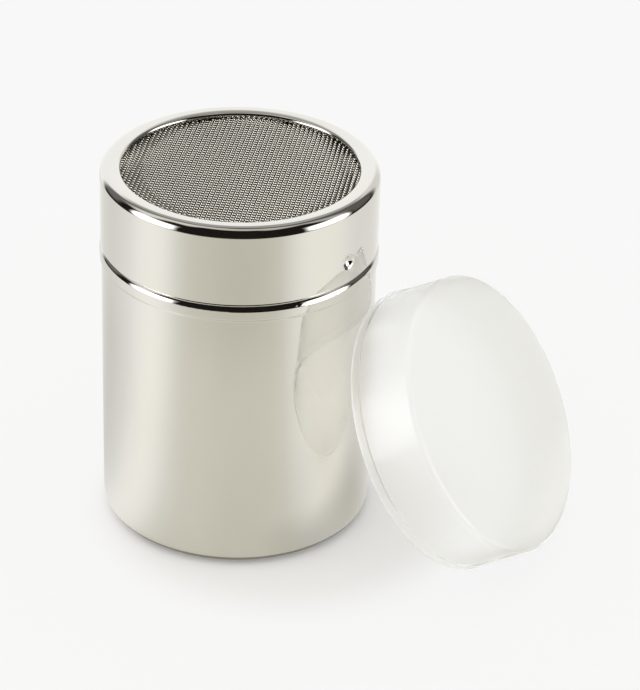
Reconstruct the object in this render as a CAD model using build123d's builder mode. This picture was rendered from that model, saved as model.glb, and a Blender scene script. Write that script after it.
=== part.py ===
from build123d import *
from math import acos, asin, cos, degrees, floor, radians, sin
import os

# A mesh-top shaker: a deep-drawn steel jar, a bayonet cap that clamps a woven wire sieve on the
# jar's neck, and a push-fit plastic cover that is off and leans against the jar.
# Millimetres. The origin is the centre of the jar's base, on the table. +Z is up.
# Angles are turned about +Z from +X.

# ---- jar -------------------------------------------------------------------------------------
JAR_R = 34.8              # outer radius of the straight wall
JAR_WALL = 0.6            # drawn sheet
BASE_CORNER_R = 3.6       # outer radius where the base turns up into the wall
CREASE_Z = 71.2           # height where the wall steps out into the bead
BEAD_PROUD = 0.45         # how far the bead under the cap stands out from the wall
BEAD_STEP_R = 0.7         # radius of both bends of the step below the bead
BEAD_SIDE = 3.0           # from the crease up to where the bead's crown begins
BEAD_CROWN_R = 1.8        # radius of the bead's rounded top
NECK_HEIGHT = 19.56       # from the foot of the bead's crown up to the neck's rim

# ---- cap -------------------------------------------------------------------------------------
CAP_PROUD = 0.2           # how far the skirt stands out from the jar's straight wall
CAP_WALL = 0.6            # drawn sheet
SKIRT_LIFT = 2.0          # from the foot of the bead's crown up to the skirt's lower edge
RIM_ROUND_R = 2.5         # outer radius where the skirt turns into the rim
RIM_WIDTH = 5.2           # from the skirt's outside in to the sieve opening
LIP_HEIGHT = 1.7          # from the lip's lower edge, on the sieve, up to the top of the rim
LIP_ROUND_R = 0.9         # outer radius where the rim turns down into the lip
CROWN_FALL = 15.0         # degrees that the rim has turned down where the lip's bend begins
NECK_CLEARANCE = 0.2      # radial, between the jar's neck and the cap's skirt

# ---- bayonet ---------------------------------------------------------------------------------
DIMPLE_COUNT = 2
DIMPLE_ANGLE = -38.25     # direction of the first dimple
DIMPLE_RISE = 5.4         # from the skirt's lower edge up to the dimples' centres
DIMPLE_WIDTH = 4.0        # across the mouth of a dimple
DIMPLE_DEPTH = 0.95
DIMPLE_CLEARANCE = 0.2    # between a dimple's back and its channel, all round
LOCK_TURN = 35.0          # degrees that the cap turns clockwise from its entry slots to locked

# ---- sieve -----------------------------------------------------------------------------------
WIRE_D = 0.3
MESH_PITCH = 0.85         # spacing of the wires, centre to centre
WEAVE_ANGLE = 36.0        # direction in which the warp wires run
MESH_MARGIN = 1.1         # from the ring's outer edge in to the edge of the round of mesh
LAYER_GAP = 0.02          # between the layers of wire, and between them and the metal
RING_CLEARANCE = 0.1      # radial, between the sieve ring and the cap's skirt
RING_SHEET = 0.6
RING_SETBACK = 0.8        # how far the ring's opening lies back from the cap's
RING_COLLAR = 2.4         # height of the ring, with the collar turned down round its opening
RING_BEND_R = 0.5         # inner radius of the collar's bend

# ---- cover -----------------------------------------------------------------------------------
COVER_DEPTH = 17.4        # from the mouth to the outside of the closed face
COVER_WALL = 0.8
COVER_FACE = 0.9          # thickness of the closed face
COVER_FIT = 0.15          # radial, between the cap's skirt and the cover's bore at its closed end
COVER_DRAFT = 0.35        # widening of the bore from the closed end to the mouth
COVER_CORNER_R = 1.3      # outer radius round the closed face
COVER_LIP = 0.35          # how far the lip stands out from the wall beside it
COVER_LIP_HEIGHT = 2.5
COVER_EDGE_R = 0.25       # radius on the edges of the lip
COVER_AXIS_ANGLE = -23.8  # direction in which the closed face looks
COVER_AXIS_RISE = 31.4    # degrees that the closed face looks upwards
COVER_BEARING = -17.3     # direction of the mouth's centre, seen from the jar's axis
COVER_GAP = 0.15          # between the cover's rim and the jar's wall
LEAN_STEPS = 12           # rounds in which the cover's place against the jar settles

# ---- sizes that follow -----------------------------------------------------------------------
CAP_R = JAR_R + CAP_PROUD
CAP_BORE_R = CAP_R - CAP_WALL
OPENING_R = CAP_R - RIM_WIDTH
NECK_R = CAP_BORE_R - NECK_CLEARANCE
BEAD_R = JAR_R + BEAD_PROUD
BEAD_CROWN_TURN = degrees(acos((NECK_R - BEAD_R + BEAD_CROWN_R) / BEAD_CROWN_R))
BEAD_STEP_TURN = degrees(acos(1 - BEAD_PROUD / (2 * BEAD_STEP_R)))

BEAD_CROWN_Z = CREASE_Z + BEAD_SIDE
NECK_TOP_Z = BEAD_CROWN_Z + NECK_HEIGHT
SKIRT_BOTTOM_Z = BEAD_CROWN_Z + SKIRT_LIFT
RING_TOP_Z = NECK_TOP_Z + RING_SHEET
LIP_BOTTOM_Z = RING_TOP_Z + 2 * WIRE_D + 2 * LAYER_GAP
CAP_TOP_Z = LIP_BOTTOM_Z + LIP_HEIGHT
CROWN_R = ((RIM_WIDTH - RIM_ROUND_R) / sin(radians(CROWN_FALL))
           - LIP_ROUND_R * (1 / sin(radians(CROWN_FALL)) - 1))

DIMPLE_Z = SKIRT_BOTTOM_Z + DIMPLE_RISE
DIMPLE_FACE_R = (DIMPLE_WIDTH**2 / 4 + DIMPLE_DEPTH**2) / (2 * DIMPLE_DEPTH)
DIMPLE_BACK_R = DIMPLE_FACE_R + CAP_WALL
DIMPLE_CENTRE_R = CAP_R - DIMPLE_DEPTH + DIMPLE_FACE_R
CHANNEL_FLOOR_R = DIMPLE_CENTRE_R - DIMPLE_BACK_R - DIMPLE_CLEARANCE
CHANNEL_HALF = (DIMPLE_BACK_R**2 - (DIMPLE_CENTRE_R - CAP_BORE_R)**2)**0.5 + DIMPLE_CLEARANCE

RING_R = CAP_BORE_R - RING_CLEARANCE
RING_BORE_R = OPENING_R + RING_SETBACK
MESH_R = RING_R - MESH_MARGIN
WIRES_PER_LAYER = 2 * floor(MESH_R / MESH_PITCH) + 1

COVER_BORE_R = CAP_R + COVER_FIT
COVER_R = COVER_BORE_R + COVER_WALL
COVER_MOUTH_BORE_R = COVER_BORE_R + COVER_DRAFT
COVER_MOUTH_R = COVER_MOUTH_BORE_R + COVER_WALL
COVER_LIP_R = COVER_MOUTH_R + COVER_LIP


def section_plane(angle):
    """The upright plane through the jar's axis in one direction: local X is out, local Y is up."""
    out = (cos(radians(angle)), sin(radians(angle)), 0)
    return Plane((0, 0, 0), x_dir=out, z_dir=(out[1], -out[0], 0))


def ring_block(r_in, r_out, z_low, z_high, start, turn, mode):
    """A block of rectangular section turned about the jar's axis from start, counterclockwise."""
    with BuildSketch(section_plane(start)) as section:
        with Locations(((r_in + r_out) / 2, (z_low + z_high) / 2)):
            Rectangle(r_out - r_in, z_high - z_low)
    revolve(section.sketch, axis=Axis.Z, revolution_arc=turn, mode=mode)


def bayonet_channels(r_in, r_out, half_width, top, mode):
    """Both L-shaped channels: an entry slot down from the rim, then a run clockwise to locked."""
    half_turn = degrees(half_width / NECK_R)
    z_low = DIMPLE_Z - half_width
    for i in range(DIMPLE_COUNT):
        slot = DIMPLE_ANGLE + i * 360 / DIMPLE_COUNT - half_turn
        ring_block(r_in, r_out, z_low, top, slot, 2 * half_turn, mode)
        ring_block(r_in, r_out, z_low, DIMPLE_Z + half_width,
                   slot - LOCK_TURN, 2 * half_turn + LOCK_TURN, mode)


def make_jar():
    """Cup drawn from one sheet, with the bead and the neck that the cap slides over."""
    with BuildPart() as jar:
        with BuildSketch(Plane.XZ):
            with BuildLine():
                base = Line((0, 0), (JAR_R - BASE_CORNER_R, 0))
                corner = JernArc(base @ 1, base % 1, BASE_CORNER_R, 90)
                wall = Line(corner @ 1, (JAR_R, CREASE_Z))
                step_out = JernArc(wall @ 1, wall % 1, BEAD_STEP_R, -BEAD_STEP_TURN)
                step_up = JernArc(step_out @ 1, step_out % 1, BEAD_STEP_R, BEAD_STEP_TURN)
                bead = Line(step_up @ 1, (BEAD_R, BEAD_CROWN_Z))
                crown = JernArc(bead @ 1, bead % 1, BEAD_CROWN_R, BEAD_CROWN_TURN)
                Line(crown @ 1, (NECK_R, NECK_TOP_Z))
                offset(amount=JAR_WALL, side=Side.LEFT)
            make_face()
        revolve(axis=Axis.Z)
        bayonet_channels(CHANNEL_FLOOR_R - JAR_WALL, NECK_R - JAR_WALL / 2,
                         CHANNEL_HALF + JAR_WALL, NECK_TOP_Z, Mode.ADD)
        bayonet_channels(CHANNEL_FLOOR_R, NECK_R + NECK_CLEARANCE,
                         CHANNEL_HALF, NECK_TOP_Z, Mode.SUBTRACT)
    jar.part.label = "jar_body"
    return jar.part


def make_cap():
    """Ring drawn from one sheet: skirt, rounded rim, shallow crown and lip, with the dimples."""
    segment_foot = DIMPLE_CENTRE_R - (CAP_R + CAP_BORE_R) / 2
    with BuildPart() as cap:
        with BuildSketch(Plane.XZ):
            with BuildLine():
                skirt = Line((CAP_R, SKIRT_BOTTOM_Z), (CAP_R, CAP_TOP_Z - RIM_ROUND_R))
                rim = JernArc(skirt @ 1, skirt % 1, RIM_ROUND_R, 90)
                crown = JernArc(rim @ 1, rim % 1, CROWN_R, CROWN_FALL)
                roll = JernArc(crown @ 1, crown % 1, LIP_ROUND_R, 90 - CROWN_FALL)
                Line(roll @ 1, (OPENING_R, LIP_BOTTOM_Z))
                offset(amount=CAP_WALL, side=Side.LEFT)
            make_face()
        revolve(axis=Axis.Z)
        with PolarLocations(DIMPLE_CENTRE_R, DIMPLE_COUNT, start_angle=DIMPLE_ANGLE):
            with Locations((0, 0, DIMPLE_Z)):
                Sphere(DIMPLE_BACK_R, arc_size1=degrees(asin(segment_foot / DIMPLE_BACK_R)),
                       rotation=(0, -90, 0), align=None)
                Sphere(DIMPLE_FACE_R, mode=Mode.SUBTRACT)
    cap.part.label = "cap_shell"
    return cap.part


def make_sieve_ring():
    """Flat ring that rests on the neck's rim, with a collar turned down round its opening."""
    with BuildPart() as ring:
        with BuildSketch(Plane.XZ):
            with BuildLine():
                flange = Line((RING_R, RING_TOP_Z), (RING_BORE_R + RING_BEND_R + RING_SHEET, RING_TOP_Z))
                bend = JernArc(flange @ 1, flange % 1, RING_BEND_R + RING_SHEET, 90)
                Line(bend @ 1, (RING_BORE_R, RING_TOP_Z - RING_COLLAR))
                offset(amount=RING_SHEET, side=Side.LEFT)
            make_face()
        revolve(axis=Axis.Z)
    ring.part.label = "sieve_ring"
    return ring.part


def make_wires(name, heading, height):
    """One layer of the sieve: straight parallel wires, trimmed to the round of the mesh."""
    along = (cos(radians(heading)), sin(radians(heading)), 0)
    with BuildPart() as wires:
        with BuildSketch(Plane((0, 0, height), x_dir=(-along[1], along[0], 0), z_dir=along)):
            with GridLocations(MESH_PITCH, 0, WIRES_PER_LAYER, 1):
                Circle(WIRE_D / 2)
        extrude(amount=MESH_R, both=True)
        with Locations((0, 0, height)):
            Cylinder(MESH_R, 2 * WIRE_D, mode=Mode.INTERSECT)
    wires.part.label = name
    return wires.part


def cover_plane():
    """The plane of the leaning cover's mouth; its normal looks out through the closed face.

    The rim's rounded edge is a ring of radius COVER_EDGE_R about edge_circle. It stands on the
    table, and the mouth's centre moves out along its bearing until the edge is the set gap away
    from the jar's wall."""
    rise = radians(COVER_AXIS_RISE)
    turn = radians(COVER_AXIS_ANGLE)
    bearing = Vector(cos(radians(COVER_BEARING)), sin(radians(COVER_BEARING)), 0)
    normal = Vector(cos(rise) * cos(turn), cos(rise) * sin(turn), sin(rise))
    uphill = Vector(-sin(rise) * cos(turn), -sin(rise) * sin(turn), cos(rise))
    edge_r = COVER_LIP_R - COVER_EDGE_R
    centre_z = edge_r * cos(rise) + COVER_EDGE_R * (1 - sin(rise))
    jar_axis = Edge.make_line((0, 0, 0), (0, 0, 2 * COVER_LIP_R))
    reach = JAR_R + COVER_LIP_R
    for _ in range(LEAN_STEPS):
        mouth = Plane(bearing * reach + Vector(0, 0, centre_z), x_dir=uphill, z_dir=normal)
        edge_circle = Edge.make_circle(edge_r, mouth.offset(COVER_EDGE_R))
        reach += JAR_R + COVER_GAP + COVER_EDGE_R - edge_circle.distance_to(jar_axis)
    return mouth


def make_cover():
    """Moulded cup: closed face, drafted wall and a thicker lip round the mouth."""
    mouth = cover_plane()
    axis = Axis(mouth.origin, mouth.z_dir)
    half_section = Plane(mouth.origin, x_dir=mouth.x_dir, z_dir=mouth.x_dir.cross(mouth.z_dir))
    wall_run = COVER_DEPTH - COVER_FACE
    lip_join_r = COVER_MOUTH_R - COVER_DRAFT * COVER_LIP_HEIGHT / wall_run
    outline = [
        (0, COVER_DEPTH), (COVER_R, COVER_DEPTH), (lip_join_r, COVER_LIP_HEIGHT),
        (COVER_LIP_R, COVER_LIP_HEIGHT), (COVER_LIP_R, 0), (COVER_MOUTH_BORE_R, 0),
        (COVER_BORE_R, wall_run), (0, wall_run),
    ]
    with BuildPart() as cover:
        with BuildSketch(half_section) as profile:
            with BuildLine():
                Polyline(*outline, close=True)
            make_face()
            face_corner = profile.vertices().sort_by_distance((COVER_R, COVER_DEPTH))[0]
            fillet(face_corner, COVER_CORNER_R)
            bore_corner = profile.vertices().sort_by_distance((COVER_BORE_R, wall_run))[0]
            fillet(bore_corner, COVER_CORNER_R - COVER_WALL)
            fillet(profile.vertices().sort_by_distance((COVER_LIP_R, 0))[0], COVER_EDGE_R)
            fillet(profile.vertices().sort_by_distance((COVER_LIP_R, COVER_LIP_HEIGHT))[0], COVER_EDGE_R)
        revolve(axis=axis)
    cover.part.label = "snap_cover"
    return cover.part


lower_wires_z = RING_TOP_Z + LAYER_GAP / 2 + WIRE_D / 2
upper_wires_z = lower_wires_z + WIRE_D + LAYER_GAP / 2

pieces = [
    make_jar(),
    make_cap(),
    make_sieve_ring(),
    make_wires("sieve_warp", WEAVE_ANGLE, lower_wires_z),
    make_wires("sieve_weft", WEAVE_ANGLE + 90, upper_wires_z),
    make_cover(),
]

os.makedirs("parts", exist_ok=True)
for piece in pieces:
    export_step(piece, f"parts/{piece.label}.step")
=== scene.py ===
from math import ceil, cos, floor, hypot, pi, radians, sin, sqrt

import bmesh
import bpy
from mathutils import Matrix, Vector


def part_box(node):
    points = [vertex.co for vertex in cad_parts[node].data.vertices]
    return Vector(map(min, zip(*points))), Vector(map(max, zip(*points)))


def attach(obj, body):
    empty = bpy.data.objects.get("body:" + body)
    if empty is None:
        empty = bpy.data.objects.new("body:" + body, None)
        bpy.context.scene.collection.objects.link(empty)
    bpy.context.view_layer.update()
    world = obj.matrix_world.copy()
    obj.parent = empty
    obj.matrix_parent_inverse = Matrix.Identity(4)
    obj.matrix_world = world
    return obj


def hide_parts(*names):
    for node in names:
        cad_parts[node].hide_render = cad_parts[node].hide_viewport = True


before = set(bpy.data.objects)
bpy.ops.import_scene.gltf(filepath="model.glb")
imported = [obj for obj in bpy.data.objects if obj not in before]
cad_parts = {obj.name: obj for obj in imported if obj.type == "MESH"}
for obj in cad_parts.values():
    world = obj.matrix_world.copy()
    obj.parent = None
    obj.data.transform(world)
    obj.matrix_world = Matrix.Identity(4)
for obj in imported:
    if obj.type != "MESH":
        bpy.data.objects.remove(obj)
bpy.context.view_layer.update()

# %% [markdown]
# # A mesh-top shaker with its cover off
# The shaker is a drawn steel jar, a steel cap that turns on the jar's neck, and a round of woven
# wire that the cap clamps. A milky plastic cover leans against the jar. The frame that was loaded
# above holds the exact construction. This script gives each piece its finish, and models again
# the pieces whose look needs more than the plain solid has: the soft pressed dimples in the cap,
# the woven wires and the moulded cover.

MM = 0.001

# %% [markdown]
# ## Colours and nodes
# Colours are written as the hex codes that a paint program shows. Cycles works in linear light,
# so one function turns a code into linear values. A second small function adds a node, sets it
# up and wires its inputs: a value is written into the socket, and a socket is linked to it.


# %% Colour and node helpers
def colour(hex_code):
    """A hex colour as linear red, green, blue and alpha."""
    channels = [int(hex_code[i:i + 2], 16) / 255 for i in (1, 3, 5)]
    return [c / 12.92 if c <= 0.04045 else ((c + 0.055) / 1.055) ** 2.4 for c in channels] + [1]


def add_node(tree, kind, inputs=None, **settings):
    """Adds a node; inputs maps an input's name or number to a value or to another node's output."""
    node = tree.nodes.new(kind)
    for name, value in settings.items():
        setattr(node, name, value)
    for key, value in (inputs or {}).items():
        if isinstance(value, bpy.types.NodeSocket):
            tree.links.new(value, node.inputs[key])
        else:
            node.inputs[key].default_value = value
    return node


# %% [markdown]
# ## The camera
# A product shot with a long lens, from about 30 degrees above the table and 0.75 m away. The
# long lens keeps the cylinder's sides almost parallel. The camera is rolled by a degree or two,
# as a hand-set tripod head is. The Standard view transform shows a colour as it is written.

# %% Camera
FRAME_LONG_SIDE = 690            # pixels on the picture's long side
FOCAL_PIXELS = 2914.85           # the lens, as pixels from the eye to the picture
SENSOR_WIDTH = 36                # mm, as in a full-frame camera
CAMERA_RISE = 30.163             # degrees above the table
CAMERA_ROLL = 1.731              # degrees
CAMERA_DISTANCE = 749.89 * MM
CAMERA_TARGET = Vector((21.10, 0, 45.45)) * MM


def make_camera():
    data = bpy.data.cameras.new("camera")
    data.sensor_width = SENSOR_WIDTH
    data.lens = FOCAL_PIXELS * SENSOR_WIDTH / FRAME_LONG_SIDE
    camera = bpy.data.objects.new("camera", data)
    bpy.context.scene.collection.objects.link(camera)
    aim = Matrix.Rotation(radians(90 - CAMERA_RISE), 4, "X")
    back = aim @ Vector((0, 0, CAMERA_DISTANCE))
    roll = Matrix.Rotation(radians(CAMERA_ROLL), 4, "Z")
    camera.matrix_world = Matrix.Translation(CAMERA_TARGET + back) @ aim @ roll
    bpy.context.scene.camera = camera
    print("camera at", [round(c / MM, 1) for c in camera.location], "lens", round(data.lens, 1))


make_camera()
bpy.context.scene.view_settings.view_transform = "Standard"

# %% [markdown]
# ## The studio as polished steel sees it
# Polished steel shows its surroundings, so the studio is part of its look. A photographer sets
# white cards beside a metal piece for long clean highlights, and leaves the front dark so that
# edges get a crisp black line. Real cards would stand in view of the other cameras, so they are
# drawn into the world by direction instead: each card is a window in azimuth and elevation with
# soft edges. Azimuth 0 is the front, where the first camera stands, and 90 is the right. Only rays
# that come straight from a mirror see the cards. Camera rays see the plain pale background, and all
# other rays, such as the light that the steel throws on the plastic, a plain soft light.

# %% Background and cards
BACKGROUND = "#F8F8F8"
SOFT_LIGHT = "#FFFDF9"
SOFT_LIGHT_STRENGTH = 0.98
DARK_ROOM = "#1D1A17"

# name, then in degrees the middle, half width and soft edge in azimuth, and the same in
# elevation, then tint and brightness; a later card covers an earlier one
CARDS = [
    ("left gap", (-122, 14, 12), (34, 36, 20), "#FFFDF6", 0.17),
    ("right gap", (114, 14, 12), (40, 44, 20), "#FFFDF6", 0.12),
    ("back upper", (180, 48, 20), (56, 22, 20), "#FFFDF6", 0.42),
    ("back left", (-160, 27, 12), (0, 42, 12), "#FFFFFF", 1.06),
    ("back right", (155, 22, 12), (0, 38, 12), "#FFFDF8", 0.80),
    ("back", (180, 24, 16), (0, 44, 12), "#FFFFFD", 1.08),
    ("ceiling front", (-15, 95, 40), (94, 25, 9), "#FFFDF2", 0.62),
    ("ceiling left", (-79, 24, 16), (80, 23, 10), "#FFFDF6", 0.76),
    ("ceiling right", (62, 30, 20), (82, 21, 10), "#FFFDF2", 0.60),
    ("upper left", (-94, 16, 20), (50, 18, 14), "#FFFCF4", 0.88),
    ("upper right", (91, 10, 14), (46, 20, 14), "#FFFCF4", 0.50),
    ("left", (-70, 17.6, 13), (6, 19, 23), "#FFFFFF", 4.5),
    ("right", (76, 17.6, 13), (5, 17, 21), "#FFFEFA", 4.2),
]


# %% Rays, angles and windows
def straight_mirror_ray(tree, rays):
    """1 for a ray that was only mirrored, and 0 once it was scattered or went through something."""
    scattered = add_node(tree, "ShaderNodeMath",
                         {0: rays["Diffuse Depth"], 1: rays["Transmission Depth"]}, operation="ADD")
    return add_node(tree, "ShaderNodeMath", {0: rays["Is Glossy Ray"], 1: scattered.outputs[0]},
                    operation="SUBTRACT", use_clamp=True).outputs[0]


def once_mirrored_ray(tree, rays):
    """1 for a ray that was mirrored on its way, even if it also went through the plastic."""
    return add_node(tree, "ShaderNodeMath", {0: rays["Glossy Depth"], 1: rays["Diffuse Depth"]},
                    operation="SUBTRACT", use_clamp=True).outputs[0]


def angle_round(tree, axes):
    """Degrees round the jar: 0 at the front and 90 at the right."""
    toward = add_node(tree, "ShaderNodeMath", {0: axes["Y"], 1: -1}, operation="MULTIPLY")
    turn = add_node(tree, "ShaderNodeMath", {0: axes["X"], 1: toward.outputs[0]},
                    operation="ARCTAN2")
    return add_node(tree, "ShaderNodeMath", {0: turn.outputs[0]}, operation="DEGREES").outputs[0]


def card_window(tree, value, middle, half, edge):
    """1 inside the window and 0 outside it, with a soft edge; all in degrees."""
    offset = add_node(tree, "ShaderNodeMath", {0: value, 1: middle}, operation="SUBTRACT")
    around = add_node(tree, "ShaderNodeMath", {0: offset.outputs[0], 1: 180, 2: -180},
                      operation="WRAP")
    away = add_node(tree, "ShaderNodeMath", {0: around.outputs[0]}, operation="ABSOLUTE")
    window = {"Value": away.outputs[0], "From Min": half - edge / 2, "From Max": half + edge / 2,
              "To Min": 1, "To Max": 0}
    return add_node(tree, "ShaderNodeMapRange", window, interpolation_type="SMOOTHSTEP").outputs[0]


# %% World
def make_world():
    """Adds the cards to the dark room, and shows each kind of ray what it should see."""
    world = bpy.data.worlds.new("studio")
    bpy.context.scene.world = world
    world.use_nodes = True
    tree = world.node_tree
    tree.nodes.clear()
    direction = add_node(tree, "ShaderNodeTexCoord").outputs["Generated"]
    axes = add_node(tree, "ShaderNodeSeparateXYZ", {0: direction}).outputs
    azimuth = angle_round(tree, axes)
    rise = add_node(tree, "ShaderNodeMath", {0: axes["Z"]}, operation="ARCSINE")
    elevation = add_node(tree, "ShaderNodeMath", {0: rise.outputs[0]}, operation="DEGREES")

    lit = colour(DARK_ROOM)
    for name, across_window, upward_window, tint, brightness in CARDS:
        across = card_window(tree, azimuth, *across_window)
        upward = card_window(tree, elevation.outputs[0], *upward_window)
        share = add_node(tree, "ShaderNodeMath", {0: across, 1: upward}, operation="MULTIPLY")
        light = [channel * brightness for channel in colour(tint)]
        card = add_node(tree, "ShaderNodeMix", {0: share.outputs[0], 6: lit, 7: light},
                        data_type="RGBA", label=name)
        lit = card.outputs[2]

    rays = add_node(tree, "ShaderNodeLightPath").outputs
    pale = add_node(tree, "ShaderNodeMath",
                    {0: rays["Is Camera Ray"], 1: rays["Is Transmission Ray"]}, operation="MAXIMUM")
    plain = add_node(tree, "ShaderNodeBackground",
                     {"Color": colour(SOFT_LIGHT), "Strength": SOFT_LIGHT_STRENGTH})
    cards = add_node(tree, "ShaderNodeBackground", {"Color": lit, "Strength": 1})
    backdrop = add_node(tree, "ShaderNodeBackground", {"Color": colour(BACKGROUND), "Strength": 1})
    glossy = add_node(tree, "ShaderNodeMixShader",
                      {0: straight_mirror_ray(tree, rays), 1: plain.outputs[0],
                       2: cards.outputs[0]})
    shown = add_node(tree, "ShaderNodeMixShader",
                     {0: pale.outputs[0], 1: glossy.outputs[0], 2: backdrop.outputs[0]})
    add_node(tree, "ShaderNodeOutputWorld", {"Surface": shown.outputs[0]})
    print("world with", len(CARDS), "cards")


make_world()

# %% [markdown]
# ## The table
# A plain pale table that takes the soft shadows. Away from the shaker most of its light is its
# own glow, which keeps all but the contact shadow as light as in a high-key shot, and far out it
# fades into the background, so that no horizon shows. In the steel, the same table has painted
# light and shade: it is painted warmer in front and brighter at the sides, where the cards would
# light it, and it has a painted shadow in the gap under the leaning cover. It looks so in the
# steel through the plastic too. Past its soft edge the steel sees the room.

# %% Table seen directly
SHADOW_MIDDLE = Vector((12, -9, 0)) * MM
SHADOW_FROM = 35 * MM            # the contact shadow is full up to this far from its middle
SHADOW_TO = 53 * MM              # and has ended here
CONTACT_GLOW = 0.1               # the glow's share of the light in the contact shadow
FAINT_SHADOW = 0.14              # the share that still takes shadow where the contact shadow ends
FADE_TO = 300 * MM               # from here on the table is all glow


def table_seen_directly(tree, place):
    """Lit where the contact shadow falls, and more and more its own glow farther out."""
    away = add_node(tree, "ShaderNodeVectorMath", {0: place, 1: SHADOW_MIDDLE},
                    operation="DISTANCE").outputs["Value"]
    near = add_node(tree, "ShaderNodeMapRange",
                    {"Value": away, "From Min": SHADOW_FROM, "From Max": SHADOW_TO,
                     "To Min": CONTACT_GLOW, "To Max": 1 - FAINT_SHADOW},
                    interpolation_type="SMOOTHSTEP")
    far = add_node(tree, "ShaderNodeMapRange",
                   {"Value": away, "From Min": SHADOW_TO, "From Max": FADE_TO,
                    "To Min": near.outputs[0]}, interpolation_type="SMOOTHSTEP")
    pale = colour(BACKGROUND)
    lit = add_node(tree, "ShaderNodeBsdfDiffuse", {"Color": pale})
    glow = add_node(tree, "ShaderNodeEmission", {"Color": pale, "Strength": 1})
    return add_node(tree, "ShaderNodeMixShader",
                    {0: far.outputs[0], 1: lit.outputs[0], 2: glow.outputs[0]}).outputs[0]


# %% Table seen in the steel
GLOW_IN_STEEL = 0.54             # share of the mirrored table's light that no shadow takes away
MIRRORED_MIDDLE = Vector((0, 71, 0)) * MM
MIRRORED_R = 285 * MM            # the table that the steel sees starts to end here
MIRRORED_EDGE = 60 * MM

# painted patches of light on the table as the steel sees it: name, then in degrees round the jar
# the middle, half width and soft edge, tint, and brightness near the jar and farther out; a later
# patch covers an earlier one
TABLE_TINT = "#FFFFFD"
PAINTED_LIGHT_PATCHES = [
    ("left back", (-122, 26, 50), "#FFFFFA", 0.76, 0.82),
    ("right back", (118, 34, 60), "#FFFEFA", 0.86, 0.89),
    ("front", (-2, 46, 44), "#FFFDF1", 0.80, 0.74),
    ("middle front", (0, 22, 40), "#FFFCEE", 0.76, 0.68),
    ("left", (-67, 13, 28), "#FFFEF9", 1.12, 1.10),
    ("right", (69, 19, 36), "#FFFDF5", 1.10, 1.05),
]
NEAR_TO = 110 * MM               # near the jar is up to this far from its axis
FAR_FROM = 165 * MM              # and farther out is from here on
TABLE_BRIGHTEST = 1.12           # a colour stops at 1, so tones are divided by this for the shaders

# painted shadows in the gap under the cover, as the steel sees the table: middle in mm, turn in
# degrees, half length and half width in mm, and tone in the middle
PAINTED_GAP_SHADOWS = [
    ((45, -10, 0), 37, (36, 22, 1), 0.68),
    ((28, -30, 0), 41, (32, 17, 1), 0.83),
]


def painted_tone_in_steel(tree, place):
    """The table's colour in the steel: painted patches of light round the jar, painted shadow in
    the gap.
    """
    around = angle_round(tree, add_node(tree, "ShaderNodeSeparateXYZ", {0: place}).outputs)
    out = add_node(tree, "ShaderNodeVectorMath", {0: place}, operation="LENGTH")
    farther = add_node(tree, "ShaderNodeMapRange",
                       {"Value": out.outputs["Value"], "From Min": NEAR_TO, "From Max": FAR_FROM},
                       interpolation_type="SMOOTHSTEP")
    tone = [channel / TABLE_BRIGHTEST for channel in colour(TABLE_TINT)]
    # each patch paints light into the table's tone
    for name, window, tint, *brightness in PAINTED_LIGHT_PATCHES:
        near, far = [[channel * level / TABLE_BRIGHTEST for channel in colour(tint)]
                     for level in brightness]
        patch = add_node(tree, "ShaderNodeMix", {0: farther.outputs[0], 6: near, 7: far},
                         data_type="RGBA", label=name)
        share = card_window(tree, around, *window)
        tone = add_node(tree, "ShaderNodeMix", {0: share, 6: tone, 7: patch.outputs[2]},
                        data_type="RGBA").outputs[2]
    # each gap's painted shadow darkens the table's tone
    for middle, turned, half, darkest in PAINTED_GAP_SHADOWS:
        in_gap = add_node(tree, "ShaderNodeMapping",
                          {"Vector": place, "Location": Vector(middle) * MM,
                           "Rotation": (0, 0, radians(turned)), "Scale": Vector(half) * MM},
                          vector_type="TEXTURE")
        away = add_node(tree, "ShaderNodeVectorMath", {0: in_gap.outputs[0]}, operation="LENGTH")
        gap = add_node(tree, "ShaderNodeMapRange",
                       {"Value": away.outputs["Value"], "To Min": darkest},
                       interpolation_type="SMOOTHSTEP")
        tone = add_node(tree, "ShaderNodeVectorMath", {0: tone, 3: gap.outputs[0]},
                        operation="SCALE").outputs[0]
    return tone


def table_seen_in_steel(tree, place):
    """Part lit and part glow, as far as its soft edge."""
    tone = painted_tone_in_steel(tree, place)
    lit = add_node(tree, "ShaderNodeBsdfDiffuse", {"Color": tone})
    glow = add_node(tree, "ShaderNodeEmission", {"Color": tone, "Strength": TABLE_BRIGHTEST})
    table = add_node(tree, "ShaderNodeMixShader",
                     {0: GLOW_IN_STEEL, 1: lit.outputs[0], 2: glow.outputs[0]})
    reach = add_node(tree, "ShaderNodeVectorMath", {0: place, 1: MIRRORED_MIDDLE},
                     operation="DISTANCE")
    past = add_node(tree, "ShaderNodeMapRange",
                    {"Value": reach.outputs["Value"], "From Min": MIRRORED_R,
                     "From Max": MIRRORED_R + MIRRORED_EDGE})
    clear = add_node(tree, "ShaderNodeBsdfTransparent")
    return add_node(tree, "ShaderNodeMixShader",
                    {0: past.outputs[0], 1: table.outputs[0], 2: clear.outputs[0]}).outputs[0]


# %% Table
TABLE_R = 900 * MM
TABLE_SIDES = 96


def make_table_material():
    """One look for the eye and another for the steel."""
    material = bpy.data.materials.new("pale table")
    material.use_nodes = True
    tree = material.node_tree
    tree.nodes.clear()
    place = add_node(tree, "ShaderNodeTexCoord").outputs["Object"]
    rays = add_node(tree, "ShaderNodeLightPath").outputs
    shown = add_node(tree, "ShaderNodeMixShader",
                     {0: once_mirrored_ray(tree, rays), 1: table_seen_directly(tree, place),
                      2: table_seen_in_steel(tree, place)})
    add_node(tree, "ShaderNodeOutputMaterial", {"Surface": shown.outputs[0]})
    return material


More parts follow.
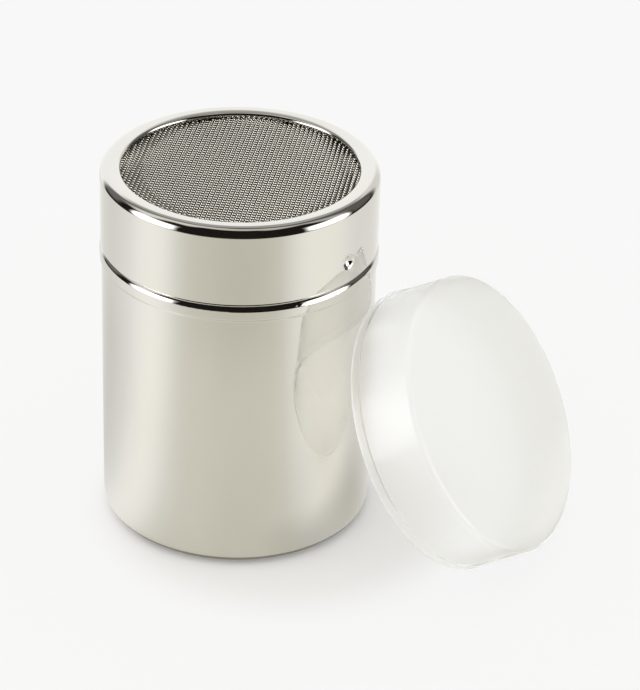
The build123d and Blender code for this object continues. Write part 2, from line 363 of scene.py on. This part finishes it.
def make_table():
    bm = bmesh.new()
    bmesh.ops.create_circle(bm, cap_ends=True, segments=TABLE_SIDES, radius=TABLE_R)
    mesh = bpy.data.meshes.new("table")
    bm.to_mesh(mesh)
    bm.free()
    table = bpy.data.objects.new("table", mesh)
    bpy.context.scene.collection.objects.link(table)
    mesh.materials.append(make_table_material())
    print("table with", len(PAINTED_LIGHT_PATCHES), "patches and", len(PAINTED_GAP_SHADOWS), "gaps in the steel")


make_table()

# %% [markdown]
# ## Soft lamps
# Large area lamps give the table and the plastic their soft light: one overhead and a little
# behind, and one on the left. The steel doesn't mirror them, because it has the cards.

# %% Lamps
# name, place and width in mm, and power in watts
LAMPS = [
    ("overhead lamp", (-120, 160, 900), 600, 0.35),
    ("left lamp", (-800, -160, 420), 500, 0.45),
]


def make_lamps():
    for name, place, size, power in LAMPS:
        data = bpy.data.lights.new(name, "AREA")
        data.shape = "DISK"
        data.size = size * MM
        data.energy = power
        lamp = bpy.data.objects.new(name, data)
        lamp.location = Vector(place) * MM
        lamp.rotation_euler = (-lamp.location).to_track_quat("-Z", "Y").to_euler()
        lamp.visible_camera = False
        lamp.visible_glossy = False
        bpy.context.scene.collection.objects.link(lamp)
        print(name, "at", place, "mm,", power, "W")


make_lamps()

# %% [markdown]
# ## Polished stainless steel
# The jar and cap are deep-drawn stainless steel, buffed to a mirror. Buffing leaves very fine
# lines that run round the piece, so the mirror is a little softer in thin level bands. The
# lines are about 0.05 mm apart on the real metal; they are drawn 0.4 mm apart, so that they show.
# Drawing also leaves the wall a little wavy, and handling leaves faint smears.
# Only the outside is buffed. The inside keeps the dull finish of the drawn sheet, and so do the
# pressed channels in the neck. Their grey is also darkened as painted shade, for the shade inside
# the jar. The inside is told from the outside by how far it is from the axis.

# %% Steel
STEEL = "#E5E4E1"
SMEARED_STEEL = "#E1DFDA"
# the inside's grey: the dull drawn sheet, darkened further as painted shade
DULL_AND_SHADED_STEEL = "#9C9892"
UPRIGHT = (1, 1, 0.4)            # a scale under 1 draws a pattern out: smears and waves upwards
LEVEL = (0.05, 0.05, 1)          # and the buffing lines round the piece
SMEAR = 22                       # mm across a smear
SMEAR_NOISE = (0.35, 0.7)        # values of the noise that are clean steel and smeared steel
POLISH_LINE = 0.4                # mm between the buffing lines as drawn
POLISH_NOISE = (0.3, 0.7)        # values of the noise that give the two roughnesses
POLISH_ROUGHNESS = (0.025, 0.055)
WAVE = 30                        # mm from wave to wave
WAVE_DEPTH = 0.012 * MM


def new_material(name):
    """A material with a plain Principled shader, its node tree, and the shader."""
    material = bpy.data.materials.new(name)
    material.use_nodes = True
    tree = material.node_tree
    tree.nodes.clear()
    shader = add_node(tree, "ShaderNodeBsdfPrincipled")
    add_node(tree, "ShaderNodeOutputMaterial", {"Surface": shader.outputs[0]})
    return material, tree, shader


# %% The jar's dull inside, with painted shade
DULL_ROUGHNESS = 0.42
JAR_INSIDE_R = 34.5 * MM         # between the inner and outer faces of the wall, below the bead
NECK_INSIDE_R = 33.9 * MM        # and above it
BEAD_Z = 75 * MM
FLOOR_INSIDE_Z = 0.3 * MM        # between the floor's upper and lower faces


def dull_and_shaded_inside(tree, place):
    """1 on the inside of the jar, which is dull and painted darker as shade, and 0 on its outside.
    """
    height = add_node(tree, "ShaderNodeSeparateXYZ", {0: place}).outputs["Z"]
    flat = add_node(tree, "ShaderNodeVectorMath", {0: place, 1: (1, 1, 0)}, operation="MULTIPLY")
    radius = add_node(tree, "ShaderNodeVectorMath", {0: flat.outputs[0]}, operation="LENGTH")
    limit = add_node(tree, "ShaderNodeMapRange",
                     {"Value": height, "From Min": BEAD_Z, "From Max": BEAD_Z + MM,
                      "To Min": JAR_INSIDE_R, "To Max": NECK_INSIDE_R})
    within = add_node(tree, "ShaderNodeMath",
                      {0: radius.outputs["Value"], 1: limit.outputs[0]}, operation="LESS_THAN")
    above = add_node(tree, "ShaderNodeMath", {0: height, 1: FLOOR_INSIDE_Z},
                     operation="GREATER_THAN")
    return add_node(tree, "ShaderNodeMath", {0: within.outputs[0], 1: above.outputs[0]},
                    operation="MULTIPLY").outputs[0]


# %% Polished steel
def make_polished_steel(name, has_inside):
    """Mirror-bright steel with buffing lines, smears and waves, and dull inside the jar, darker
    there as painted shade.
    """
    material, tree, shader = new_material(name)
    shader.inputs["Metallic"].default_value = 1
    place = add_node(tree, "ShaderNodeTexCoord").outputs["Object"]

    upright = add_node(tree, "ShaderNodeMapping", {"Vector": place, "Scale": UPRIGHT})
    smear = add_node(tree, "ShaderNodeTexNoise",
                     {"Vector": upright.outputs[0], "Scale": 1 / (SMEAR * MM), "Detail": 3})
    clean, smeared = SMEAR_NOISE
    spread = add_node(tree, "ShaderNodeMapRange",
                      {"Value": smear.outputs[0], "From Min": clean, "From Max": smeared})
    tone = add_node(tree, "ShaderNodeMix",
                    {0: spread.outputs[0], 6: colour(STEEL), 7: colour(SMEARED_STEEL)},
                    data_type="RGBA").outputs[2]

    lines = add_node(tree, "ShaderNodeMapping", {"Vector": place, "Scale": LEVEL})
    grain = add_node(tree, "ShaderNodeTexNoise",
                     {"Vector": lines.outputs[0], "Scale": 1 / (POLISH_LINE * MM), "Detail": 2})
    (fine, coarse), (low, high) = POLISH_NOISE, POLISH_ROUGHNESS
    rough = add_node(tree, "ShaderNodeMapRange",
                     {"Value": grain.outputs[0], "From Min": fine, "From Max": coarse,
                      "To Min": low, "To Max": high}).outputs[0]

    wave = add_node(tree, "ShaderNodeTexNoise",
                    {"Vector": upright.outputs[0], "Scale": 1 / (WAVE * MM), "Detail": 1})
    bump = add_node(tree, "ShaderNodeBump", {"Height": wave.outputs[0], "Distance": WAVE_DEPTH})
    tree.links.new(bump.outputs[0], shader.inputs["Normal"])

    if has_inside:
        # painted shade: the inside and the neck's channels get the darker grey
        inside = dull_and_shaded_inside(tree, place)
        tone = add_node(tree, "ShaderNodeMix", {0: inside, 6: tone, 7: colour(DULL_AND_SHADED_STEEL)},
                        data_type="RGBA").outputs[2]
        rough = add_node(tree, "ShaderNodeMix", {0: inside, 2: rough, 3: DULL_ROUGHNESS}).outputs[0]
    tree.links.new(tone, shader.inputs["Base Color"])
    tree.links.new(rough, shader.inputs["Roughness"])
    return material


polished_steel = make_polished_steel("polished stainless steel", False)
# the jar's steel also has painted shade on its inside
jar_steel = make_polished_steel("polished stainless steel, dull inside", True)
print("made", polished_steel.name, "and", jar_steel.name)

# %% [markdown]
# ## Wire and ring steel
# The sieve's wire is drawn through a die, so it is smooth and bright but not polished. The ring
# that it sits on is plain pressed sheet.

# %% Wire and ring
WIRE_STEEL = "#C6C2B9"
WIRE_ROUGHNESS = (0.08, 0.16)
WIRE_GRAIN = 1.2                 # mm across a darker place
RING_STEEL = "#CFCDC7"
RING_ROUGHNESS = (0.18, 0.3)
RING_GRAIN = 0.8
GRAIN_TONE = 0.82                # the darkest places, as a share of the tint


def make_plain_steel(name, tint, roughness, grain_size):
    """Unpolished steel whose tone and gloss vary together in a fine grain."""
    material, tree, shader = new_material(name)
    shader.inputs["Metallic"].default_value = 1
    place = add_node(tree, "ShaderNodeTexCoord").outputs["Object"]
    grain = add_node(tree, "ShaderNodeTexNoise",
                     {"Vector": place, "Scale": 1 / (grain_size * MM), "Detail": 3})
    darker = [channel * GRAIN_TONE for channel in colour(tint)[:3]] + [1]
    tone = add_node(tree, "ShaderNodeMix", {0: grain.outputs[0], 6: darker, 7: colour(tint)},
                    data_type="RGBA")
    tree.links.new(tone.outputs[2], shader.inputs["Base Color"])
    low, high = roughness
    rough = add_node(tree, "ShaderNodeMapRange",
                     {"Value": grain.outputs[0], "To Min": low, "To Max": high})
    tree.links.new(rough.outputs[0], shader.inputs["Roughness"])
    return material


drawn_wire = make_plain_steel("drawn steel wire", WIRE_STEEL, WIRE_ROUGHNESS, WIRE_GRAIN)
pressed_sheet = make_plain_steel("pressed steel sheet", RING_STEEL, RING_ROUGHNESS, RING_GRAIN)
print("made", drawn_wire.name, "and", pressed_sheet.name)

# %% [markdown]
# ## Milky polypropylene
# The cover is injection-moulded polypropylene, a milky plastic. The thin wall lets most light
# through but scatters it, so the cup is nearly as light as what surrounds it, and shapes behind
# it show only as a blur. A rough transmission gives the blur, and the diffuse rest of the base
# the milk. The mould leaves a smooth skin, which the clear coat stands for: it has the plastic's
# true IOR of 1.49, and the body under it a lower one, because the milk scatters light out of the
# wall that a clear plastic would keep inside.

# %% Plastic
MILKY = "#FEFEFC"
MILKY_IOR = 1.12
CLEAR_SHARE = 0.9                # the rest of the light is scattered back by the milk
BLUR = (0.4, 0.5)
CLOUD = 9                        # mm across a milkier place
SKIN_GLOSS = 0.5
SKIN_ROUGHNESS = 0.05
SKIN_IOR = 1.49


def make_plastic():
    """A milky body that blurs what is behind it, under a smooth skin."""
    material, tree, shader = new_material("milky polypropylene")
    shader.inputs["Base Color"].default_value = colour(MILKY)
    shader.inputs["IOR"].default_value = MILKY_IOR
    shader.inputs["Transmission Weight"].default_value = CLEAR_SHARE
    shader.inputs["Coat Weight"].default_value = SKIN_GLOSS
    shader.inputs["Coat Roughness"].default_value = SKIN_ROUGHNESS
    shader.inputs["Coat IOR"].default_value = SKIN_IOR
    place = add_node(tree, "ShaderNodeTexCoord").outputs["Object"]
    cloud = add_node(tree, "ShaderNodeTexNoise",
                     {"Vector": place, "Scale": 1 / (CLOUD * MM), "Detail": 2})
    low, high = BLUR
    rough = add_node(tree, "ShaderNodeMapRange",
                     {"Value": cloud.outputs[0], "To Min": low, "To Max": high})
    tree.links.new(rough.outputs[0], shader.inputs["Roughness"])
    return material


milky_plastic = make_plastic()
print("made", milky_plastic.name)

# %% [markdown]
# ## Turned shapes
# The cap and the cover are round, so each is a profile spun about its axis. A profile starts as
# one vertex. Extruding the vertex draws a straight stretch, and spinning it about a centre draws
# an arc. Spinning the whole profile a full turn then makes the skin, and solidify gives a drawn
# sheet its thickness on the inside.

# %% Profile helpers
SAME_PLACE = 0.0005 * MM         # vertices closer than this are merged


def line_to(bm, tip, r, z, steps=1):
    """Draws a straight stretch from the profile's tip and returns the new tip."""
    start = tip.co.copy()
    end = Vector((r, 0, z))
    for i in range(steps):
        tip = bmesh.ops.extrude_vert_indiv(bm, verts=[tip])["verts"][0]
        tip.co = start.lerp(end, (i + 1) / steps)
    return tip


def arc_about(bm, tip, r, z, turn, steps):
    """Draws an arc about a centre from the profile's tip and returns the new tip."""
    made = bmesh.ops.spin(bm, geom=[tip], cent=(r, 0, z), axis=(0, -1, 0), angle=radians(turn),
                          steps=steps)
    return [item for item in made["geom_last"] if isinstance(item, bmesh.types.BMVert)][0]


def spin_profile(bm, segments):
    """Spins the profile a full turn about Z into a closed skin with its faces outwards."""
    bmesh.ops.spin(bm, geom=bm.verts[:] + bm.edges[:], cent=(0, 0, 0), axis=(0, 0, 1),
                   angle=2 * pi, steps=segments, use_merge=True)
    bmesh.ops.remove_doubles(bm, verts=bm.verts[:], dist=SAME_PLACE)
    bmesh.ops.recalc_face_normals(bm, faces=bm.faces[:])


# %% Piece helper
SHARP_ANGLE = 35                 # degrees; a sharper edge is shaded as a crease


def make_piece(bm, name, body, material, stands_for):
    """Turns a bmesh into a smooth-shaded piece that rides on a body and stands for a CAD node."""
    for face in bm.faces:
        face.smooth = True
    for edge in bm.edges:
        edge.smooth = edge.calc_face_angle(0) < radians(SHARP_ANGLE)
    mesh = bpy.data.meshes.new(name)
    bm.to_mesh(mesh)
    bm.free()
    mesh.materials.append(material)
    piece = bpy.data.objects.new(name, mesh)
    bpy.context.scene.collection.objects.link(piece)
    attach(piece, body)
    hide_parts(stands_for)
    print(name, "has", len(mesh.polygons), "faces")


# %% [markdown]
# ## The cap
# The cap is drawn from one sheet: a straight skirt, a rounded rim, a shallow crown that falls
# inwards, and a lip turned down onto the sieve. Two dimples are pressed into the skirt; they
# ride in the neck's bayonet channels. A press leaves a soft edge round a dimple, which a ball
# cut out of a cylinder hasn't got, so the skirt's vertices are moved inwards instead: the depth
# follows a bowl, and it fades out smoothly where the bowl meets the skirt.

# %% Dimples
cap_low, cap_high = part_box("cap_shell")
CAP_R = cap_high.x
SKIRT_BOTTOM_Z = cap_low.z
CAP_TOP_Z = cap_high.z

DIMPLE_COUNT = 2
DIMPLE_ANGLE = -38.25            # degrees from the X axis
DIMPLE_Z = SKIRT_BOTTOM_Z + 5.4 * MM
DIMPLE_R = 1.8 * MM
DIMPLE_DEPTH = 0.95 * MM
DIMPLE_SOFTNESS = 0.14 * MM
DIMPLE_END_R = 2 * DIMPLE_R      # the press moves nothing past this
DIMPLE_FADE = 8                  # the higher, the closer to its end the softness fades out


def press_dimples(bm):
    """Moves the skirt's vertices inwards in a soft-edged bowl at each dimple."""
    for i in range(DIMPLE_COUNT):
        angle = radians(DIMPLE_ANGLE + i * 360 / DIMPLE_COUNT)
        out = Vector((cos(angle), sin(angle), 0))
        along = Vector((-sin(angle), cos(angle), 0))
        for vert in bm.verts:
            reach = hypot(vert.co.dot(along), vert.co.z - DIMPLE_Z)
            if vert.co.dot(out) > 0 and reach < DIMPLE_END_R:
                bowl = DIMPLE_DEPTH * (1 - (reach / DIMPLE_R) ** 2)
                depth = (bowl + hypot(bowl, DIMPLE_SOFTNESS)) / 2
                vert.co -= out * depth * (1 - (reach / DIMPLE_END_R) ** DIMPLE_FADE)


# %% Cap
CAP_WALL = 0.6 * MM
RIM_ROUND_R = 2.5 * MM
RIM_WIDTH = 5.2 * MM
LIP_HEIGHT = 1.7 * MM
LIP_ROUND_R = 0.9 * MM
CROWN_FALL = 15                  # degrees, where the crown meets the lip's rounding
CRISP = 0.1 * MM                 # a row this close to a rounding keeps the skirt's shading straight
CAP_SEGMENTS = 720
RIM_STEPS = 24
CROWN_STEPS = 5
LIP_STEPS = 10
DIMPLE_BAND = 1.6 * DIMPLE_R     # the skirt's close rows reach this far below and above a dimple
DIMPLE_ROWS = 24


def make_cap():
    """Draws the outer profile from the skirt's lower edge to the lip, spins it and presses it."""
    opening_r = CAP_R - RIM_WIDTH
    lip_low = CAP_TOP_Z - LIP_HEIGHT
    fall = radians(CROWN_FALL)
    crown_r = (RIM_WIDTH - RIM_ROUND_R) / sin(fall) - LIP_ROUND_R * (1 / sin(fall) - 1)
    rim_r = CAP_R - RIM_ROUND_R
    rim_z = CAP_TOP_Z - RIM_ROUND_R
    roll_r = opening_r + LIP_ROUND_R
    roll_z = CAP_TOP_Z - crown_r + (crown_r - LIP_ROUND_R) * cos(fall)
    bm = bmesh.new()
    tip = bm.verts.new((CAP_R, 0, SKIRT_BOTTOM_Z))
    tip = line_to(bm, tip, CAP_R, DIMPLE_Z - DIMPLE_BAND)
    tip = line_to(bm, tip, CAP_R, DIMPLE_Z + DIMPLE_BAND, DIMPLE_ROWS)
    tip = line_to(bm, tip, CAP_R, rim_z - CRISP)
    tip = line_to(bm, tip, CAP_R, rim_z)
    tip = arc_about(bm, tip, rim_r, rim_z, 90, RIM_STEPS)
    tip = arc_about(bm, tip, rim_r, CAP_TOP_Z - crown_r, CROWN_FALL, CROWN_STEPS)
    tip = arc_about(bm, tip, roll_r, roll_z, 90 - CROWN_FALL, LIP_STEPS)
    line_to(bm, tip, opening_r, lip_low)
    spin_profile(bm, CAP_SEGMENTS)
    press_dimples(bm)
    bmesh.ops.solidify(bm, geom=bm.faces[:], thickness=CAP_WALL)
    make_piece(bm, "cap", "cap", polished_steel, "cap_shell")


make_cap()

# %% [markdown]
# ## The woven sieve
# Plain weave: each wire passes over one cross wire and under the next. A wire's line is a smooth
# NURBS curve with one control point at each crossing, set alternately high and low. A curve of
# order 3 rises half as far as its control points, so they are set at twice the real height. The
# curve's round bevel is the wire itself. Wire cloth is never woven quite square: its two sets
# of wires differ a little in spacing and don't cross at a true right angle. Both sets take their
# height and their round outline from the two flat layers of wire in the frame.

# %% Sieve
warp_low, warp_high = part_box("sieve_warp")
weft_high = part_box("sieve_weft")[1]
MESH_R = max(warp_high.x, weft_high.x)
WEAVE_Z = (warp_low.z + weft_high.z) / 2
WIRE_D = 0.3 * MM
WAVE_HEIGHT = (weft_high.z - warp_low.z - WIRE_D) / 2
WARP = (38, 0.861 * MM)          # degrees from the X axis, and from wire to wire
WEFT = (126.3, 0.846 * MM)
CURVE_ORDER = 3
CURVE_STEPS = 3                  # from one crossing to the next
BEVEL_STEPS = 1                  # the wires are too thin to need a rounder bevel


def heading(angle):
    """The level direction at an angle from the X axis, in degrees."""
    return Vector((cos(radians(angle)), sin(radians(angle)), 0))


def make_wires(name, own, other, side, stands_for):
    """One set of parallel wires; side is 1 or -1, so that two sets pass over and under in turn."""
    (own_angle, own_pitch), (other_angle, other_pitch) = own, other
    along, across = heading(own_angle), heading(own_angle + 90)
    other_across = heading(other_angle + 90)
    data = bpy.data.curves.new(name, "CURVE")
    data.dimensions = "3D"
    data.bevel_depth = WIRE_D / 2
    data.bevel_resolution = BEVEL_STEPS
    data.resolution_u = CURVE_STEPS
    data.use_fill_caps = True
    last = floor(MESH_R / own_pitch)
    for row in range(-last, last + 1):
        middle = across * row * own_pitch + Vector((0, 0, WEAVE_Z))
        half = sqrt(MESH_R**2 - (row * own_pitch)**2)
        points = [middle - along * half]
        most = ceil(2 * MESH_R / other_pitch)
        for crossed in sorted(range(-most, most + 1), key=lambda i: i * along.dot(other_across)):
            reach = (crossed * other_pitch - middle.dot(other_across)) / along.dot(other_across)
            if abs(reach) < half - WIRE_D:
                height = 2 * WAVE_HEIGHT * side * (-1) ** (row + crossed)
                points.append(middle + along * reach + Vector((0, 0, height)))
        points.append(middle + along * half)
        wire = data.splines.new("NURBS")
        wire.points.add(len(points) - 1)
        for point, place in zip(wire.points, points):
            point.co = (*place, 1)
        wire.order_u = CURVE_ORDER
        wire.use_endpoint_u = True
    curve = bpy.data.objects.new(name, data)
    bpy.context.scene.collection.objects.link(curve)
    depsgraph = bpy.context.evaluated_depsgraph_get()
    mesh = bpy.data.meshes.new_from_object(curve.evaluated_get(depsgraph))
    bpy.data.objects.remove(curve)
    bm = bmesh.new()
    bm.from_mesh(mesh)
    make_piece(bm, name, "sieve", drawn_wire, stands_for)


make_wires("warp_wires", WARP, WEFT, 1, "sieve_warp")
make_wires("weft_wires", WEFT, WARP, -1, "sieve_weft")

# %% [markdown]
# ## The cover
# A moulded cup: a flat closed face with a small round edge, a wall that widens a little towards
# the mouth so that it leaves the mould, and a thicker lip. The section is drawn as straight
# lines between its corners, and the corners are rounded with a vertex bevel before it is spun.
# It leans on the jar, so the finished cup is turned to its axis and moved until its rim meets
# the low x, high y and low z sides of the box that the cover has in the frame.

# %% Cover
COVER_DEPTH = 17.4 * MM
COVER_WALL = 0.8 * MM
COVER_FACE = 0.9 * MM
COVER_BORE_R = CAP_R + 0.15 * MM
COVER_DRAFT = 0.35 * MM
COVER_CORNER_R = 1.3 * MM
COVER_LIP = 0.35 * MM
COVER_LIP_HEIGHT = 2.5 * MM
COVER_EDGE_R = 0.25 * MM
COVER_AXIS_ANGLE = -23.8         # degrees from the X axis
COVER_AXIS_RISE = 31.4           # degrees above the table
COVER_SEGMENTS = 240
CORNER_STEPS = 6


def make_cover():
    """Rounds and spins the cup's section, and leans the cup on the jar."""
    mouth_bore_r = COVER_BORE_R + COVER_DRAFT
    mouth_r = mouth_bore_r + COVER_WALL
    lip_r = mouth_r + COVER_LIP
    wall_run = COVER_DEPTH - COVER_FACE
    lip_join_r = mouth_r - COVER_DRAFT * COVER_LIP_HEIGHT / wall_run
    # radius and height of each corner, and how far it is rounded
    corners = [
        (0, COVER_DEPTH, 0), (COVER_BORE_R + COVER_WALL, COVER_DEPTH, COVER_CORNER_R),
        (lip_join_r, COVER_LIP_HEIGHT, 0), (lip_r, COVER_LIP_HEIGHT, COVER_EDGE_R),
        (lip_r, 0, COVER_EDGE_R), (mouth_bore_r, 0, 0),
        (COVER_BORE_R, wall_run, COVER_CORNER_R - COVER_WALL), (0, wall_run, 0),
    ]
    bm = bmesh.new()
    verts = [bm.verts.new((r, 0, z)) for r, z, _ in corners]
    for a, b in zip(verts, verts[1:]):
        bm.edges.new((a, b))
    for vert, (_, _, round_r) in zip(verts, corners):
        if round_r:
            bmesh.ops.bevel(bm, geom=[vert], offset=round_r, offset_type="OFFSET",
                            segments=CORNER_STEPS, profile=0.5, affect="VERTICES", material=-1,
                            clamp_overlap=False)
    spin_profile(bm, COVER_SEGMENTS)

    rise = radians(COVER_AXIS_RISE)
    turn = radians(COVER_AXIS_ANGLE)
    axis = Vector((cos(rise) * cos(turn), cos(rise) * sin(turn), sin(rise)))
    low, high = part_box("snap_cover")
    mouth = Vector()
    for i, (bound, side) in enumerate(((low.x, 1), (high.y, -1), (low.z, 1))):
        reach = (lip_r - COVER_EDGE_R) * sqrt(1 - axis[i]**2) + COVER_EDGE_R
        mouth[i] = bound + side * reach - COVER_EDGE_R * axis[i]
    lean = axis.to_track_quat("Z", "Y").to_matrix().to_4x4()
    bmesh.ops.transform(bm, verts=bm.verts[:], matrix=Matrix.Translation(mouth) @ lean)
    print("cover mouth at", [round(c / MM, 2) for c in mouth])
    make_piece(bm, "cover", "cover", milky_plastic, "snap_cover")


make_cover()

# %% [markdown]
# ## The jar and the sieve ring
# The frame's own jar and ring already have their true shapes, with the bead, the bayonet
# channels and the turned collar, so they stay and only get their finish.

# %% Finishes on the frame's own pieces
for node, finish in (("jar_body", jar_steel), ("sieve_ring", pressed_sheet)):
    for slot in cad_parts[node].material_slots:
        slot.material = finish
    print(node, "finished in", finish.name)
